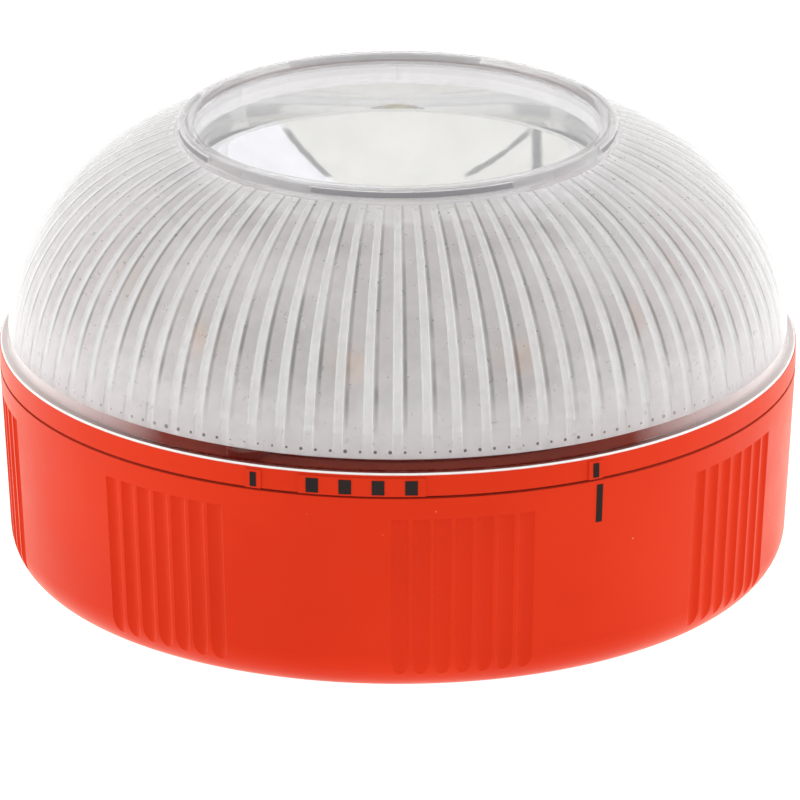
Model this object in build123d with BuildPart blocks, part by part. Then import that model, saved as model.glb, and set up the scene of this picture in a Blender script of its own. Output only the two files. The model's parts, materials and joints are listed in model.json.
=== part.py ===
from build123d import *
import os
from math import cos, radians, sin, tan

# Magnetic emergency beacon. An orange base holds a ring magnet and a push button under it.
# A clear fluted dome on an orange collar twists on the base with a bayonet, and carries the
# battery, the electronics, a drum of amber lights and a torch that shines up through a window.
# Origin: centre of the underside. +Z is up, -Y is the front. All sizes are in millimetres.
# A bearing is an angle about Z in degrees, 0 at the front and positive towards +X.

os.makedirs("parts", exist_ok=True)

# ---------------------------------------------------------------- driving dimensions
rim_radius = 47.5        # widest radius of base and collar, at the seam
base_top = 25.2          # top edge of the base
seam_gap = 0.35          # open line between base and collar
collar_height = 2.5      # visible height of the collar
dome_crown = 54.06       # where the domed surface meets the ring round the torch window
overall_height = 55.2    # top of that ring
twist_angle = 49         # from locked to released

# base
stand_z = 0.3            # the base's own edge stands just above the rubber pad's face
corner_radius = 5.0      # rounded bottom edge
wall_lean = 2.9          # draft of the outer wall, in degrees
wall = 2.0
socket_floor = 18.0      # step where the wall opens out for the collar's spigot
socket_radius = 45.4
pad_recess = 1.2         # height of the recess roof that the rubber pad is glued to
well_radius = 9.0        # push button's well
well_roof = 5.0
base_inside = 6.4        # highest point of the fixed parts under the turning battery
guide_bore = 2.6
guide_radius = 4.6
guide_top = 21.5

# bayonet
bayonet_count = 4
spigot_radius = 44.2
spigot_bore = 42.6
spigot_bottom = 18.5
lug_reach = 45.1
lug_width = 26
ledge_reach = 44.5
ledge_width = 30
ledge_bottom = 20.6
ledge_top = 22.2
lug_clearance = 0.3
first_lug_bearing = 45

# stack inside the turning half
chassis_bottom = 25.6
chassis_top = 27.0
board_bottom = 28.3
board_thickness = 1.6
board_top = board_bottom + board_thickness
drum_radius = 30.0
drum_top = 46.2
rim_of_bowl = 46.9
bowl_radius = 24.2
bowl_floor = 38.1
window_radius = 25.05

# power button
press_travel = 0.8
button_face = 0.6
button_top = 2.1
rod_radius = 2.5
rod_top = 23.9

# 9 V battery, lying on its broad side
battery_width = 26.5
battery_length = 46.4
battery_thickness = 17.5
battery_near_x = 5.9
battery_front_y = -26.0
battery_bottom = 7.6

lean = radians(wall_lean)
base_corner_z = stand_z + corner_radius
foot_z = base_corner_z - corner_radius * sin(lean)
foot_radius = rim_radius - tan(lean) * (base_top - foot_z)
corner_centre_radius = foot_radius - corner_radius * cos(lean)
collar_bottom = base_top + seam_gap
collar_top = collar_bottom + collar_height
ledge_floor = 26.9       # orange shelf seen through the clear band of the dome


def outer_wall(height):
    """Outer radius of the base, which opens out evenly from its rounded edge to the seam."""
    return rim_radius - tan(lean) * (base_top - height)


def upright_plane(bearing):
    """Plane through the Z axis whose local x points outwards at this bearing, local y up."""
    turn = radians(bearing)
    return Plane(origin=(0, 0, 0), x_dir=(sin(turn), -cos(turn), 0), z_dir=(-cos(turn), -sin(turn), 0))


def spot(bearing, radius):
    """Point on the plan view at a bearing and a radius."""
    turn = radians(bearing)
    return (radius * sin(turn), -radius * cos(turn))


def start_planes(bearings, width):
    """Upright planes where sectors of this width start, so that each is centred on its bearing."""
    return [upright_plane(bearing - width / 2) for bearing in bearings]


def save(piece, label):
    """Label a finished piece and write its STEP file."""
    piece.part.label = label
    export_step(piece.part, f"parts/{label}.step")


lug_bearings = [first_lug_bearing + 360 / bayonet_count * index for index in range(bayonet_count)]

# ---------------------------------------------------------------- base
magnet_rib = 30.7        # ring that centres the magnet
cover_screw_circle = 35.3
cover_bottom = 5.1
cover_top = 6.3
pilot_radius = 0.95
shank_radius = 0.9
cover_boss_spots = [spot(45 + 90 * index, cover_screw_circle) for index in range(4)]

# Grip patches: upright flutes cut into the outside of the wall
flute_depth = 0.5
flute_half_width = 1.1
flute_pitch = 3.0
flutes_per_patch = 7
flute_top = 22.6
cut_margin = 0.12        # the cutter stands this far out of the wall
patch_bearings = [-82.0, -35.5, 9.3, 57.0, 102.0, 147.0, -172.0, -127.0]
flute_bearings = [
    patch + flute_pitch * (index - (flutes_per_patch - 1) / 2)
    for patch in patch_bearings
    for index in range(flutes_per_patch)
]

# One scalloped cutter lies along the wall and runs out of it as the bottom edge rounds away.
flute_start = (0, -outer_wall(flute_top), flute_top)
with BuildPart() as flute_cutter:
    across = Plane(origin=flute_start, x_dir=(1, 0, 0), z_dir=(0, sin(lean), -cos(lean)))
    with BuildSketch(across):
        with BuildLine():
            ThreePointArc((-flute_half_width, cut_margin), (0, -flute_depth), (flute_half_width, cut_margin))
            Line((flute_half_width, cut_margin), (-flute_half_width, cut_margin))
        make_face()
    extrude(amount=flute_top)

with BuildPart() as base_cup:
    with BuildSketch(Plane.XZ):
        with BuildLine():
            inner_corner = corner_radius - wall
            inner_floor = stand_z + wall
            inner_radius = corner_centre_radius + inner_corner
            Polyline(
                (corner_centre_radius, stand_z), (35.6, stand_z), (35.6, pad_recess), (11.8, pad_recess),
                (11.8, stand_z), (well_radius, stand_z), (well_radius, well_roof), (guide_bore, well_roof),
                (guide_bore, guide_top), (guide_radius, guide_top), (guide_radius, base_inside),
                (10.6, base_inside), (10.6, 2.0), (magnet_rib, 2.0), (magnet_rib, cover_bottom),
                (magnet_rib + 1.6, cover_bottom), (magnet_rib + 1.6, inner_floor),
                (corner_centre_radius, inner_floor),
            )
            RadiusArc((corner_centre_radius, inner_floor), (inner_radius, base_corner_z), -inner_corner)
            Polyline(
                (inner_radius, base_corner_z), (inner_radius, socket_floor), (socket_radius, socket_floor),
                (socket_radius, base_top), (rim_radius, base_top), (foot_radius, foot_z),
            )
            RadiusArc((foot_radius, foot_z), (corner_centre_radius, stand_z), corner_radius)
        make_face()
    revolve(axis=Axis.Z)
    # bosses for the magnet cover's screws
    with BuildSketch(Plane.XY.offset(inner_floor - 0.2)):
        with Locations(*cover_boss_spots):
            Circle(2.6)
    extrude(amount=cover_bottom - inner_floor + 0.2)
    with BuildSketch(Plane.XY.offset(2.6)):
        with Locations(*cover_boss_spots):
            Circle(pilot_radius)
    extrude(amount=cover_bottom - 2.6, mode=Mode.SUBTRACT)
    # bayonet ledges that the lugs turn under
    with BuildSketch(*start_planes(lug_bearings, ledge_width)):
        with BuildLine():
            Polyline(
                (ledge_reach, ledge_bottom), (socket_radius + 0.3, ledge_bottom),
                (socket_radius + 0.3, ledge_top + 0.6), (socket_radius, ledge_top + 0.6),
                (ledge_reach, ledge_top), close=True,
            )
        make_face()
    revolve(axis=Axis.Z, revolution_arc=ledge_width)
    # end stops: one beside each locked lug, one where the lug arrives when released
    stop_width = 2
    stop_gap = 0.5
    locked_stops = [bearing - lug_width / 2 - stop_gap - stop_width / 2 for bearing in lug_bearings]
    released_stops = [
        bearing + twist_angle + lug_width / 2 + stop_gap + stop_width / 2 for bearing in lug_bearings
    ]
    with BuildSketch(*start_planes(locked_stops + released_stops, stop_width)):
        with Locations(((ledge_reach + socket_radius + 0.3) / 2, (socket_floor + ledge_bottom) / 2)):
            Rectangle(socket_radius + 0.3 - ledge_reach, ledge_bottom - socket_floor)
    revolve(axis=Axis.Z, revolution_arc=stop_width)
    # flutes of the grip patches, all cut with one scalloped cutter
    for bearing in flute_bearings:
        add(flute_cutter.part.rotate(Axis.Z, bearing), mode=Mode.SUBTRACT)
    # shallow pocket for the black index mark
    base_mark_bearing = 29.4
    base_mark_width = 0.95
    base_mark_bottom = 20.0
    base_mark_top = 24.7
    mark_depth = 0.3
    mark_proud = 0.06
    pocket_low = outer_wall(base_mark_bottom) - mark_depth
    pocket_high = outer_wall(base_mark_top) - mark_depth
    with BuildSketch(*start_planes([base_mark_bearing], base_mark_width)):
        with BuildLine():
            Polyline(
                (pocket_low, base_mark_bottom), (pocket_low + 1, base_mark_bottom),
                (pocket_high + 1, base_mark_top), (pocket_high, base_mark_top), close=True,
            )
        make_face()
    revolve(axis=Axis.Z, revolution_arc=base_mark_width, mode=Mode.SUBTRACT)
save(base_cup, "base_cup")

mark_thickness = mark_depth + mark_proud
with BuildPart() as base_mark:
    with BuildSketch(*start_planes([base_mark_bearing], base_mark_width)):
        with BuildLine():
            Polyline(
                (pocket_low, base_mark_bottom), (pocket_low + mark_thickness, base_mark_bottom),
                (pocket_high + mark_thickness, base_mark_top), (pocket_high, base_mark_top), close=True,
            )
        make_face()
    revolve(axis=Axis.Z, revolution_arc=base_mark_width)
save(base_mark, "base_mark")

with BuildPart() as foot_pad:
    with BuildSketch(Plane.XY):
        Circle(35.3)
        Circle(12.1, mode=Mode.SUBTRACT)
    extrude(amount=pad_recess)
    chamfer(foot_pad.faces().sort_by(Axis.Z)[0].edges(), length=0.3)
    # three round tread grooves
    with BuildSketch(Plane.XZ):
        with Locations((18, 0.2), (24, 0.2), (30, 0.2)):
            Rectangle(1.0, 0.4)
    revolve(axis=Axis.Z, mode=Mode.SUBTRACT)
save(foot_pad, "foot_pad")

with BuildPart() as ring_magnet:
    with BuildSketch(Plane.XY.offset(2.0)):
        Circle(magnet_rib - 0.2)
        Circle(11.0, mode=Mode.SUBTRACT)
    extrude(amount=3.0)
    chamfer(ring_magnet.edges().filter_by(GeomType.CIRCLE), length=0.3)
save(ring_magnet, "ring_magnet")

countersink_radius = 1.9
with BuildPart() as magnet_cover:
    with BuildSketch(Plane.XY.offset(cover_bottom)):
        Circle(38.2)
        Circle(10.75, mode=Mode.SUBTRACT)
    extrude(amount=cover_top - cover_bottom)
    with Locations(*[(x, y, cover_top) for x, y in cover_boss_spots]):
        CounterSinkHole(radius=1.1, counter_sink_radius=countersink_radius + 0.05)
save(magnet_cover, "magnet_cover")

with BuildPart() as cover_screws:
    with BuildSketch(Plane.XY.offset(2.7)):
        with Locations(*cover_boss_spots):
            Circle(shank_radius)
    extrude(amount=cover_top - 2.8)
    with Locations(*[(x, y, cover_top - 0.55) for x, y in cover_boss_spots]):
        Cone(shank_radius, countersink_radius - 0.05, 0.95)
    with Locations(*[(x, y, cover_top) for x, y in cover_boss_spots]):
        Box(2.2, 0.5, 1.0, mode=Mode.SUBTRACT)
        Box(0.5, 2.2, 1.0, mode=Mode.SUBTRACT)
save(cover_screws, "cover_screws")

# ---------------------------------------------------------------- power button under the base
clip_groove_bottom = 21.8
clip_thickness = 0.7
spring_wire = 0.3
spring_radius = 6.3

with BuildPart() as power_button:
    with BuildSketch(Plane.XY.offset(button_face)):
        Circle(well_radius - 0.3)
    extrude(amount=button_top - button_face)
    fillet(power_button.faces().sort_by(Axis.Z)[0].edges(), radius=0.6)
    # shallow dish for the fingertip
    with Locations((0, 0, button_face - 30 + 0.5)):
        Sphere(30, mode=Mode.SUBTRACT)
    with BuildSketch(Plane.XY.offset(button_top - 0.2)):
        Circle(rod_radius)
    extrude(amount=rod_top - button_top + 0.2)
    chamfer(power_button.faces().sort_by(Axis.Z)[-1].edges(), length=0.4)
    with BuildSketch(Plane.XY.offset(clip_groove_bottom)):
        Circle(rod_radius + 1)
        Circle(rod_radius - 0.5, mode=Mode.SUBTRACT)
    extrude(amount=clip_thickness, mode=Mode.SUBTRACT)
save(power_button, "power_button")

with BuildPart() as rod_clip:
    with BuildSketch(Plane.XY.offset(clip_groove_bottom)):
        Circle(guide_radius - 0.3)
        Circle(rod_radius - 0.5, mode=Mode.SUBTRACT)
        with Locations((0, guide_radius / 2 + 1)):
            Rectangle(2.6, guide_radius + 2, mode=Mode.SUBTRACT)
    extrude(amount=clip_thickness)
save(rod_clip, "rod_clip")

with BuildPart() as button_spring:
    with BuildLine():
        coil_rise = well_roof - button_top - 2 * spring_wire
        coil = Helix(pitch=coil_rise / 2.5, height=coil_rise, radius=spring_radius,
                     center=(0, 0, button_top + spring_wire))
    with BuildSketch(Plane(origin=coil @ 0, z_dir=coil % 0)):
        Circle(spring_wire)
    sweep(is_frenet=True)
save(button_spring, "button_spring")

# ---------------------------------------------------------------- collar
# The collar's marks sit on three slightly raised blocks: two bars and a row of four squares.
block_proud = 0.22
bar_width = 0.9
square_width = 1.75
mark_bottom = collar_bottom + 0.2
mark_top = mark_bottom + 1.75
left_bar_bearing = -20.4
right_bar_bearing = left_bar_bearing + twist_angle
square_bearings = [-11.9, -7.3, -2.7, 1.9]
squares_block_centre = (square_bearings[0] + square_bearings[-1]) / 2
squares_block_width = square_bearings[-1] - square_bearings[0] + 4
bar_block_width = 2.2

# The shelf inside the collar holds the chassis by four screws in bosses under it.
shelf_radius = 39.8
shelf_wall = 45.6
collar_boss_radius = 2.0
collar_screw_circle = 41.0
collar_screw_bearings = [65 + 90 * index for index in range(4)]
collar_screw_spots = [spot(bearing, collar_screw_circle) for bearing in collar_screw_bearings]
boss_bottom = 19.8
seal_groove_bottom = 23.2
seal_groove_top = 24.6
seal_groove_depth = 0.6
seal_section = 0.68
seal_centre_radius = spigot_radius - seal_groove_depth + seal_section + 0.02

with BuildPart() as collar_ring:
    with BuildSketch(Plane.XZ):
        with BuildLine():
            Polyline(
                (spigot_bore, spigot_bottom), (spigot_radius - 0.4, spigot_bottom),
                (spigot_radius, spigot_bottom + 0.4), (spigot_radius, seal_groove_bottom),
                (spigot_radius - seal_groove_depth, seal_groove_bottom),
                (spigot_radius - seal_groove_depth, seal_groove_top), (spigot_radius, seal_groove_top),
                (spigot_radius, collar_bottom), (rim_radius, collar_bottom), (rim_radius, collar_top),
                (shelf_wall, collar_top), (shelf_wall, ledge_floor), (shelf_radius, ledge_floor),
                (shelf_radius, collar_bottom), (spigot_bore, collar_bottom), close=True,
            )
        make_face()
    revolve(axis=Axis.Z)
    with BuildSketch(*start_planes(lug_bearings, lug_width)):
        lug_bottom = spigot_bottom + 0.3
        lug_top = ledge_bottom - lug_clearance
        with Locations(((spigot_radius - 0.3 + lug_reach) / 2, (lug_bottom + lug_top) / 2)):
            Rectangle(lug_reach - spigot_radius + 0.3, lug_top - lug_bottom)
    revolve(axis=Axis.Z, revolution_arc=lug_width)
    with BuildSketch(Plane.XY.offset(boss_bottom)):
        with Locations(*collar_screw_spots):
            Circle(collar_boss_radius)
    extrude(amount=collar_bottom - boss_bottom)
    with BuildSketch(Plane.XY.offset(boss_bottom + 1)):
        with Locations(*collar_screw_spots):
            Circle(pilot_radius)
    extrude(amount=ledge_floor - boss_bottom - 1, mode=Mode.SUBTRACT)
    # raised blocks under the marks
    for bearing, width in (
        (left_bar_bearing, bar_block_width),
        (right_bar_bearing, bar_block_width),
        (squares_block_centre, squares_block_width),
    ):
        with BuildSketch(*start_planes([bearing], width)):
            with BuildLine():
                Polyline(
                    (rim_radius - 0.3, collar_bottom), (rim_radius + block_proud, collar_bottom),
                    (rim_radius + block_proud, collar_top - 0.3), (rim_radius - 0.3, collar_top - 0.1),
                    close=True,
                )
            make_face()
        revolve(axis=Axis.Z, revolution_arc=width)
    mark_inner = rim_radius + block_proud - mark_depth
    for bearings, width in (
        ([left_bar_bearing, right_bar_bearing], bar_width),
        (square_bearings, square_width),
    ):
        with BuildSketch(*start_planes(bearings, width)):
            with Locations((mark_inner + 1, (mark_bottom + mark_top) / 2)):
                Rectangle(2, mark_top - mark_bottom)
        revolve(axis=Axis.Z, revolution_arc=width, mode=Mode.SUBTRACT)
save(collar_ring, "collar_ring")

with BuildPart() as collar_marks:
    for bearings, width in (
        ([left_bar_bearing, right_bar_bearing], bar_width),
        (square_bearings, square_width),
    ):
        with BuildSketch(*start_planes(bearings, width)):
            with Locations((mark_inner + (mark_depth + mark_proud) / 2, (mark_bottom + mark_top) / 2)):
                Rectangle(mark_depth + mark_proud, mark_top - mark_bottom)
        revolve(axis=Axis.Z, revolution_arc=width)
save(collar_marks, "collar_marks")

with BuildPart() as seal_ring:
    with BuildSketch(Plane.XZ):
        with Locations((seal_centre_radius, (seal_groove_bottom + seal_groove_top) / 2)):
            Circle(seal_section)
    revolve(axis=Axis.Z)
save(seal_ring, "seal_ring")

# ---------------------------------------------------------------- clear dome and torch window
ledge_width_radial = 1.0
ledge_thickness = 0.35
dome_wall = 2.0
crown_radius = 26.74
dome_foot_radius = rim_radius - ledge_width_radial
dome_foot = collar_top + ledge_thickness
neck_radius = window_radius + 0.1
neck_outer = 26.15
neck_bottom = 50.55
neck_join = 52.15         # where the inside of the dome meets the neck
lip_bottom = ledge_floor + 0.4   # the dome's foot drops inside the collar as a locating lip
slot_bottom = 54.2
slot_top = 54.9
slot_floor = 25.65
slot_width = 54
slot_bearings = [4 + 90 * index for index in range(4)]
rib_count = 82
rib_width = 1.3
rib_end = 29.2
rib_top_radius = 26.6
rib_bearings = [360 / rib_count * index for index in range(rib_count)]

with BuildPart() as dome_lens:
    with BuildSketch(Plane.XZ):
        with BuildLine():
            Bezier((dome_foot_radius, dome_foot), (dome_foot_radius, 32.8), (45.2, 48.1),
                   (crown_radius, dome_crown))
            Polyline(
                (crown_radius, dome_crown), (26.25, dome_crown + 0.1), (26.0, overall_height - 0.25),
                (25.75, overall_height), (neck_radius, overall_height), (neck_radius, neck_bottom),
                (neck_outer, neck_bottom), (neck_outer, neck_join),
            )
            Bezier((neck_outer, neck_join), (43.2, 46.4), (dome_foot_radius - dome_wall, 32.4),
                   (dome_foot_radius - dome_wall, collar_top))
            Polyline(
                (dome_foot_radius - dome_wall, collar_top), (dome_foot_radius - dome_wall, lip_bottom),
                (shelf_wall - 0.1, lip_bottom), (shelf_wall - 0.1, collar_top),
                (rim_radius - 0.1, collar_top), (rim_radius - 0.1, dome_foot),
                (dome_foot_radius, dome_foot),
            )
        make_face()
    revolve(axis=Axis.Z)
    with BuildSketch(*start_planes(slot_bearings, slot_width)):
        with Locations((slot_floor + 1, (slot_bottom + slot_top) / 2)):
            Rectangle(2, slot_top - slot_bottom)
    revolve(axis=Axis.Z, revolution_arc=slot_width, mode=Mode.SUBTRACT)
    # fine upright ribs on the inside, which spread the light; they stop above a smooth band
    with BuildSketch(*start_planes(rib_bearings, rib_width)):
        with BuildLine():
            Line((44.85, rib_end), (43.85, rib_end))
            Bezier((43.85, rib_end), (43.6, 33.6), (42.6, 45.4), (rib_top_radius, 51.3))
            Line((rib_top_radius, 51.3), (rib_top_radius, 52.6))
            Bezier((rib_top_radius, 52.6), (43.6, 46.9), (44.9, 32.9), (44.85, rib_end))
        make_face()
    revolve(axis=Axis.Z, revolution_arc=rib_width)
save(dome_lens, "dome_lens")

with BuildPart() as window_grips:
    grip_margin = 0.4
    with BuildSketch(*start_planes(slot_bearings, slot_width - grip_margin)):
        with Locations((slot_floor + 0.17, (slot_bottom + slot_top) / 2)):
            Rectangle(0.3, slot_top - slot_bottom - 0.04)
    revolve(axis=Axis.Z, revolution_arc=slot_width - grip_margin)
save(window_grips, "window_grips")

rim_inner = 24.2
pane_bottom = 53.0
pane_top = 54.4
with BuildPart() as window_lens:
    with BuildSketch(Plane.XZ):
        with BuildLine():
            Polyline(
                (0, pane_bottom), (rim_inner, pane_bottom), (rim_inner, neck_bottom),
                (window_radius, neck_bottom),
                (window_radius, overall_height - 0.15), (window_radius - 0.15, overall_height),
                (rim_inner + 0.15, overall_height), (rim_inner, overall_height - 0.15),
                (rim_inner, pane_top), (0, pane_top), close=True,
            )
        make_face()
    revolve(axis=Axis.Z)
save(window_lens, "window_lens")

# ---------------------------------------------------------------- torch
bowl_wall = 1.0
collar_of_bowl = 24.6
torch_hole = 4.2
flange_bottom = drum_top
flange_radius = 27.4
bowl_mid_radius = (bowl_radius + torch_hole) / 2
bowl_curve = (rim_of_bowl - bowl_floor) / (bowl_radius ** 2 - torch_hole ** 2)


def bowl_height(radius):
    """Height of the polished face of the parabolic bowl."""
    return bowl_floor + bowl_curve * (radius ** 2 - torch_hole ** 2)


bowl_stem_bottom = 37.0
collar_outer = collar_of_bowl + bowl_wall
bowl_collar_top = neck_bottom - 0.15
polished_radii = (torch_hole, 9, bowl_mid_radius, 19.5, bowl_radius)
backing_radii = (collar_of_bowl - 0.4, 19.5, bowl_mid_radius, 9, torch_hole + 1.2)
with BuildPart() as torch_reflector:
    with BuildSketch(Plane.XZ):
        with BuildLine():
            Spline(*[(radius, bowl_height(radius)) for radius in polished_radii])
            Polyline(
                (bowl_radius, rim_of_bowl), (collar_of_bowl, rim_of_bowl + 0.25),
                (collar_of_bowl, bowl_collar_top), (collar_outer, bowl_collar_top),
                (collar_outer, flange_bottom + bowl_wall), (flange_radius, flange_bottom + bowl_wall),
                (flange_radius, flange_bottom), (collar_of_bowl, flange_bottom),
            )
            backing = [(radius, bowl_height(radius) - bowl_wall * 1.15) for radius in backing_radii]
            Line((collar_of_bowl, flange_bottom), backing[0])
            Spline(*backing)
            Polyline(
                backing[-1], (torch_hole + 1.2, bowl_stem_bottom), (torch_hole, bowl_stem_bottom),
                (torch_hole, bowl_floor),
            )
        make_face()
    revolve(axis=Axis.Z)
save(torch_reflector, "torch_reflector")

torch_board_bottom = 35.6
torch_board_top = 36.8
post_radius = 6
torch_board_radius = 10
with BuildPart() as heat_post:
    with BuildSketch(Plane.XY.offset(board_top)):
        Circle(post_radius)
    extrude(amount=torch_board_bottom - board_top)
    chamfer(heat_post.edges().filter_by(GeomType.CIRCLE).group_by(Axis.Z)[-1], length=0.4)
save(heat_post, "heat_post")

with BuildPart() as torch_board:
    with BuildSketch(Plane.XY.offset(torch_board_bottom)):
        Circle(torch_board_radius)
        with PolarLocations(torch_board_radius, 6):
            Circle(1.6, mode=Mode.SUBTRACT)
    extrude(amount=torch_board_top - torch_board_bottom)
save(torch_board, "torch_board")

emitter_side = 3.6
emitter_base = 0.7
emitter_dome = 1.5
with BuildPart() as torch_led:
    with BuildSketch(Plane.XY.offset(torch_board_top)):
        RectangleRounded(emitter_side, emitter_side, 0.4)
    extrude(amount=emitter_base)
    with Locations((0, 0, torch_board_top + emitter_base)):
        Sphere(emitter_dome)
    # the lower part of the ball is cut off level with the board
    with BuildSketch(Plane.XY.offset(torch_board_top)):
        Circle(emitter_dome + 1)
    extrude(amount=-emitter_dome, mode=Mode.SUBTRACT)
save(torch_led, "torch_led")

torch_pin_spots = [(7.6, 0), (-7.6, 0)]
with BuildPart() as torch_pins:
    with BuildSketch(Plane.XY.offset(board_top)):
        with Locations(*torch_pin_spots):
            Circle(0.5)
    extrude(amount=torch_board_bottom - board_top)
save(torch_pins, "torch_pins")

# ---------------------------------------------------------------- drum of amber lights
drum_wall = 1.4
peg_circle = 29.3
peg_bearings = [60, 180, 300]
strip_radius = drum_radius + 0.75
strip_bottom = 31.5
strip_top = 38.5
light_count = 10
first_light_bearing = -10
light_bearings = [first_light_bearing + 360 / light_count * index for index in range(light_count)]

drum_waist = 40.0        # the drum narrows above this height
drum_neck_radius = 27.4
drum_bore = drum_radius - drum_wall
drum_neck_bore = drum_neck_radius - drum_wall
with BuildPart() as led_drum:
    with BuildSketch(Plane.XZ):
        with BuildLine():
            Line((drum_radius, board_top), (drum_radius, drum_waist))
            Bezier((drum_radius, drum_waist), (drum_radius, 43.0), (drum_neck_radius, 44.0),
                   (drum_neck_radius, drum_top))
            Line((drum_neck_radius, drum_top), (drum_neck_bore, drum_top))
            Bezier((drum_neck_bore, drum_top), (drum_neck_bore, 43.2), (drum_bore, 42.4),
                   (drum_bore, drum_waist))
            Polyline((drum_bore, drum_waist), (drum_bore, board_top), (drum_radius, board_top))
        make_face()
    revolve(axis=Axis.Z)
    with BuildSketch(Plane.XY.offset(board_bottom)):
        with Locations(*[spot(bearing, peg_circle) for bearing in peg_bearings]):
            Circle(0.65)
    extrude(amount=board_thickness + 0.5)
save(led_drum, "led_drum")

with BuildPart() as led_strip:
    with BuildSketch(Plane.XY.offset(strip_bottom)):
        Circle(strip_radius)
        Circle(drum_radius + 0.05, mode=Mode.SUBTRACT)
    extrude(amount=strip_top - strip_bottom)
save(led_strip, "led_strip")

light_depth = 1.5
light_height = (strip_bottom + strip_top) / 2
with BuildPart() as amber_leds:
    for bearing in light_bearings:
        x, y = spot(bearing, 1)
        centre = (x * (strip_radius + 0.03), y * (strip_radius + 0.03), light_height)
        with BuildSketch(Plane(origin=centre, x_dir=(-y, x, 0), z_dir=(x, y, 0))):
            RectangleRounded(3.6, 3.0, 0.3)
        extrude(amount=light_depth, taper=4)
save(amber_leds, "amber_leds")

# ---------------------------------------------------------------- chassis and main board
chassis_radius = 39.3
tab_reach = 43.2
tab_top = 28.0
tab_bottom = ledge_floor + 0.02
tab_width = 4.6
board_radius = 36.8
post_circle = 33.8
post_spots = [spot(bearing, post_circle) for bearing in (0, 120, 240)]
lead_spots = [(11, 31), (15, 31)]
lead_slot_centre = (13, 31)
cradle_screw_spots = [(35.8, 0), (19, -29.2)]
boss_radius = 2.3

with BuildPart() as chassis:
    with BuildSketch(Plane.XY.offset(chassis_bottom)):
        Circle(chassis_radius)
        Circle(5.2, mode=Mode.SUBTRACT)
        with Locations(lead_slot_centre):
            SlotOverall(8, 2.6, mode=Mode.SUBTRACT)
    extrude(amount=chassis_top - chassis_bottom)
    # stiffening rim, and the tabs that rest on the collar's shelf
    with BuildSketch(Plane.XY.offset(chassis_top - 0.2)):
        Circle(chassis_radius)
        Circle(chassis_radius - 1.5, mode=Mode.SUBTRACT)
    extrude(amount=tab_top - chassis_top + 0.2)
    with BuildSketch(Plane.XY.offset(tab_bottom)):
        with Locations(*collar_screw_spots):
            Circle(tab_width / 2)
        for bearing in collar_screw_bearings:
            with Locations(Location(spot(bearing, chassis_radius + 0.2), bearing)):
                Rectangle(tab_width, 3.2)
    extrude(amount=tab_top - tab_bottom)
    with BuildSketch(Plane.XY.offset(chassis_top - 0.2)):
        with Locations(*post_spots, *cradle_screw_spots):
            Circle(boss_radius)
    extrude(amount=board_bottom - chassis_top + 0.2)
    with BuildSketch(Plane.XY.offset(chassis_bottom)):
        with Locations(*post_spots, *cradle_screw_spots):
            Circle(pilot_radius)
        with Locations(*collar_screw_spots):
            Circle(pilot_radius + 0.15)
    extrude(amount=board_bottom - chassis_bottom, mode=Mode.SUBTRACT)
save(chassis, "chassis")

with BuildPart() as main_board:
    with BuildSketch(Plane.XY.offset(board_bottom)):
        Circle(board_radius)
        with Locations(*post_spots):
            Circle(1.15, mode=Mode.SUBTRACT)
        with Locations(*[spot(bearing, peg_circle) for bearing in peg_bearings]):
            Circle(0.7, mode=Mode.SUBTRACT)
        with Locations(*cradle_screw_spots):
            Circle(1.6, mode=Mode.SUBTRACT)
    extrude(amount=board_thickness)
save(main_board, "main_board")


def pan_screws(spots, seat, tip, head_radius, head_height):
    """Identical pan-head screws standing on a seat, with their shanks running down to the tip."""
    with BuildPart() as screws:
        with BuildSketch(Plane.XY.offset(tip)):
            with Locations(*spots):
                Circle(shank_radius)
        extrude(amount=seat - tip)
        with BuildSketch(Plane.XY.offset(seat)):
            with Locations(*spots):
                Circle(head_radius)
        extrude(amount=head_height)
        top_edges = screws.edges().filter_by(GeomType.CIRCLE).group_by(Axis.Z)[-1]
        fillet(top_edges, radius=head_height * 0.4)
        with Locations(*[(x, y, seat + head_height) for x, y in spots]):
            Box(head_radius * 1.2, 0.45, head_height, mode=Mode.SUBTRACT)
            Box(0.45, head_radius * 1.2, head_height, mode=Mode.SUBTRACT)
    return screws


save(pan_screws(collar_screw_spots, tab_top, boss_bottom + 1.4, 1.8, 1.1), "chassis_screws")
save(pan_screws(post_spots, board_top, chassis_bottom + 0.4, 1.9, 1.1), "board_screws")

# ---------------------------------------------------------------- parts on the main board
chip_centre = (13, -9)
chip_length = 5.0
chip_breadth = 4.0
with BuildPart() as driver_chip:
    with BuildSketch(Plane.XY.offset(board_top + 0.15)):
        with Locations(chip_centre):
            Rectangle(chip_length, chip_breadth)
    extrude(amount=1.45)
    chamfer(driver_chip.faces().sort_by(Axis.Z)[-1].edges(), length=0.2)
    # gull-wing legs, four a side
    with BuildSketch(Plane.XY.offset(board_top)):
        with Locations(chip_centre):
            for side in (-1, 1):
                with Locations((0, side * (chip_breadth / 2 + 0.45))):
                    with GridLocations(1.27, 1, 4, 1):
                        Rectangle(0.4, 1.1)
    extrude(amount=0.35)
save(driver_chip, "driver_chip")

inductor_centre = (-13, -11)
inductor_foot = 0.8
inductor_core = 1.8
with BuildPart() as boost_inductor:
    with BuildSketch(Plane.XY.offset(board_top)):
        with Locations(inductor_centre):
            RectangleRounded(7, 7, 1.2)
    extrude(amount=inductor_foot)
    with BuildSketch(Plane.XY.offset(board_top + inductor_foot)):
        with Locations(inductor_centre):
            Circle(2.9)
    extrude(amount=inductor_core)
    with BuildSketch(Plane.XY.offset(board_top + inductor_foot + inductor_core)):
        with Locations(inductor_centre):
            Circle(3.4)
    extrude(amount=0.7)
save(boost_inductor, "boost_inductor")

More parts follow.
